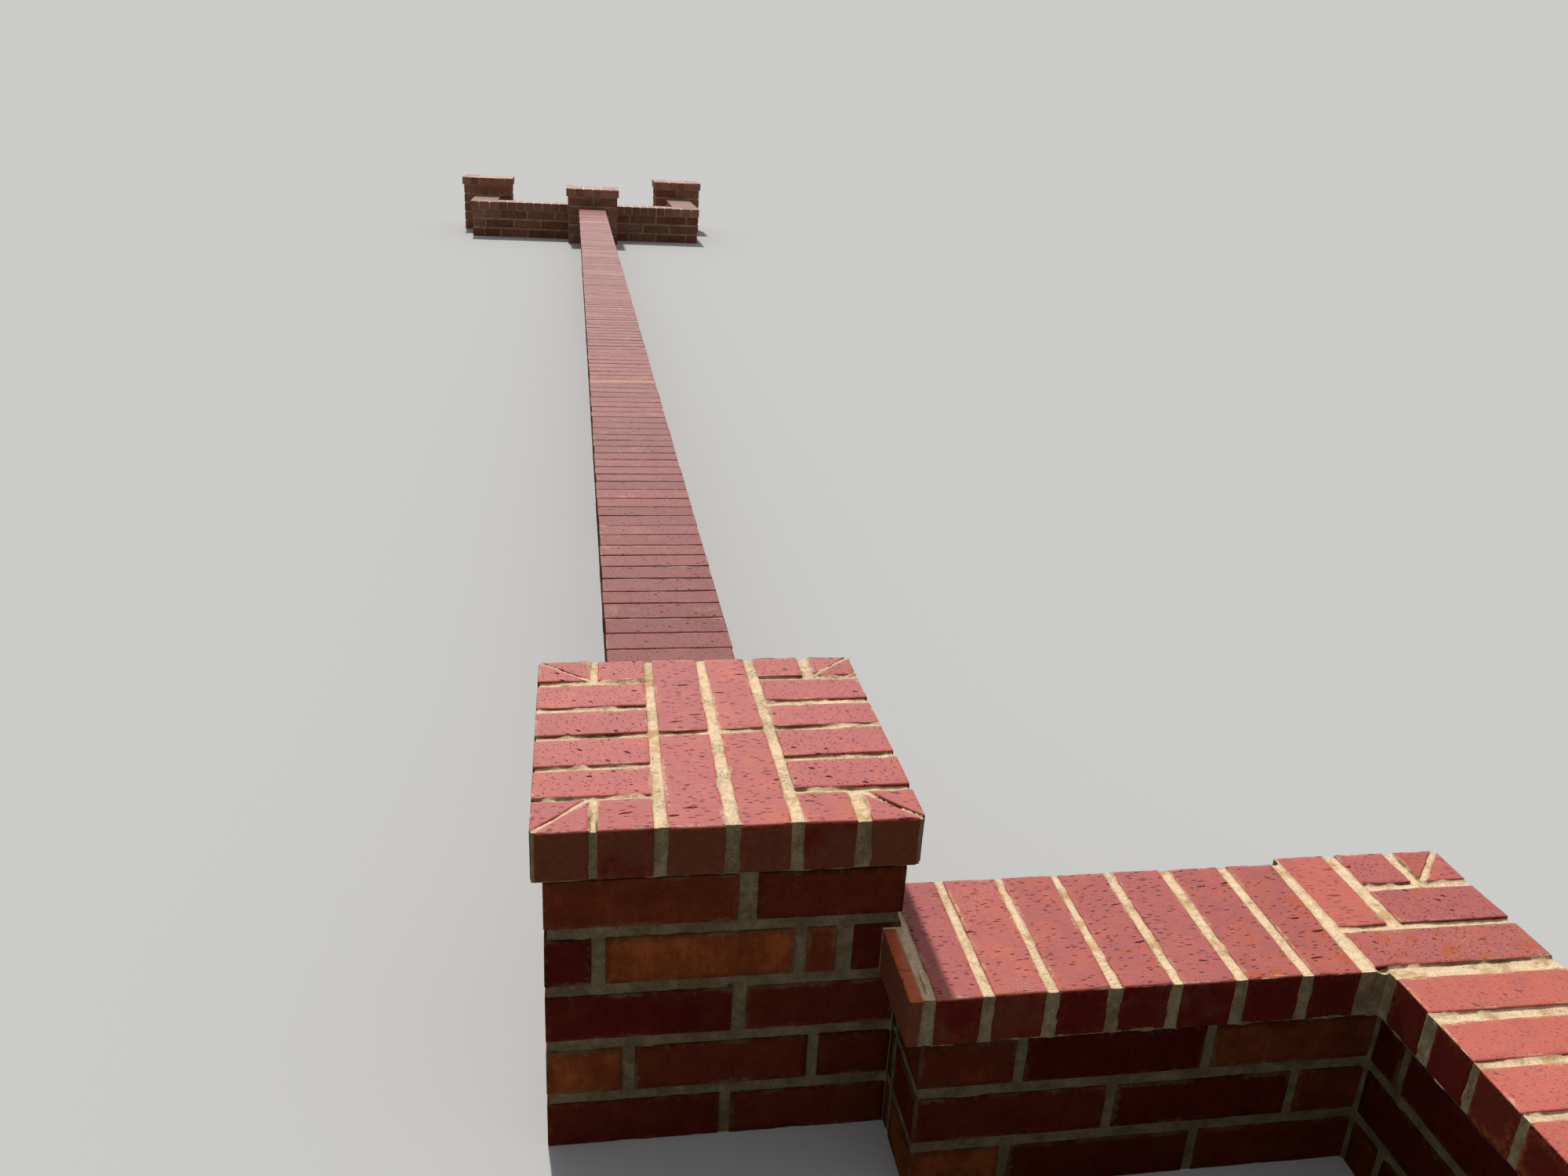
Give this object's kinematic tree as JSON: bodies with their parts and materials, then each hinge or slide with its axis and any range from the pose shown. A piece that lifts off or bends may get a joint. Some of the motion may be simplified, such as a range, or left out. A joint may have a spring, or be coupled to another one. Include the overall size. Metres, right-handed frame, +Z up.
{
  "type": "brick garden wall",
  "caption": "Low straight brick garden wall with brick-on-flat copings, capped square piers and a walled planting bed at each end.",
  "frame": {"origin": "middle of the part's plan box, at ground level", "axes": "+Y along the long wall from the near bed to the far bed, +X to the lawn side, +Z up"},
  "size_m": [2.457, 14.656, 0.494],
  "materials": {
    "wall_brick": "dark red fired clay brick with recessed cream mortar joints",
    "coping_brick": "red wire-cut fired clay brick with cream mortar joints",
    "mortar": "struck cream lime mortar"
  },
  "bodies": {
    "root": {"near_pier": "wall_brick", "far_pier": "wall_brick", "near_end_pier": "wall_brick", "lawn_end_pier": "wall_brick", "path_end_pier": "wall_brick", "main_wall": "wall_brick", "near_wing_wall": "wall_brick", "near_return_wall": "wall_brick", "lawn_wing_wall": "wall_brick", "lawn_return_wall": "wall_brick", "path_wing_wall": "wall_brick", "path_return_wall": "wall_brick", "near_pier_cap": "coping_brick", "far_pier_cap": "coping_brick", "near_end_pier_cap": "coping_brick", "lawn_end_pier_cap": "coping_brick", "path_end_pier_cap": "coping_brick", "main_coping": "coping_brick", "near_wing_coping": "coping_brick", "near_corner_coping": "coping_brick", "near_return_coping": "coping_brick", "near_closer_brick": "coping_brick", "lawn_wing_coping": "coping_brick", "lawn_corner_coping": "coping_brick", "lawn_return_coping": "coping_brick", "lawn_closer_brick": "coping_brick", "path_wing_coping": "coping_brick", "path_corner_coping": "coping_brick", "path_return_coping": "coping_brick", "path_closer_brick": "coping_brick"}
  },
  "joints": []
}
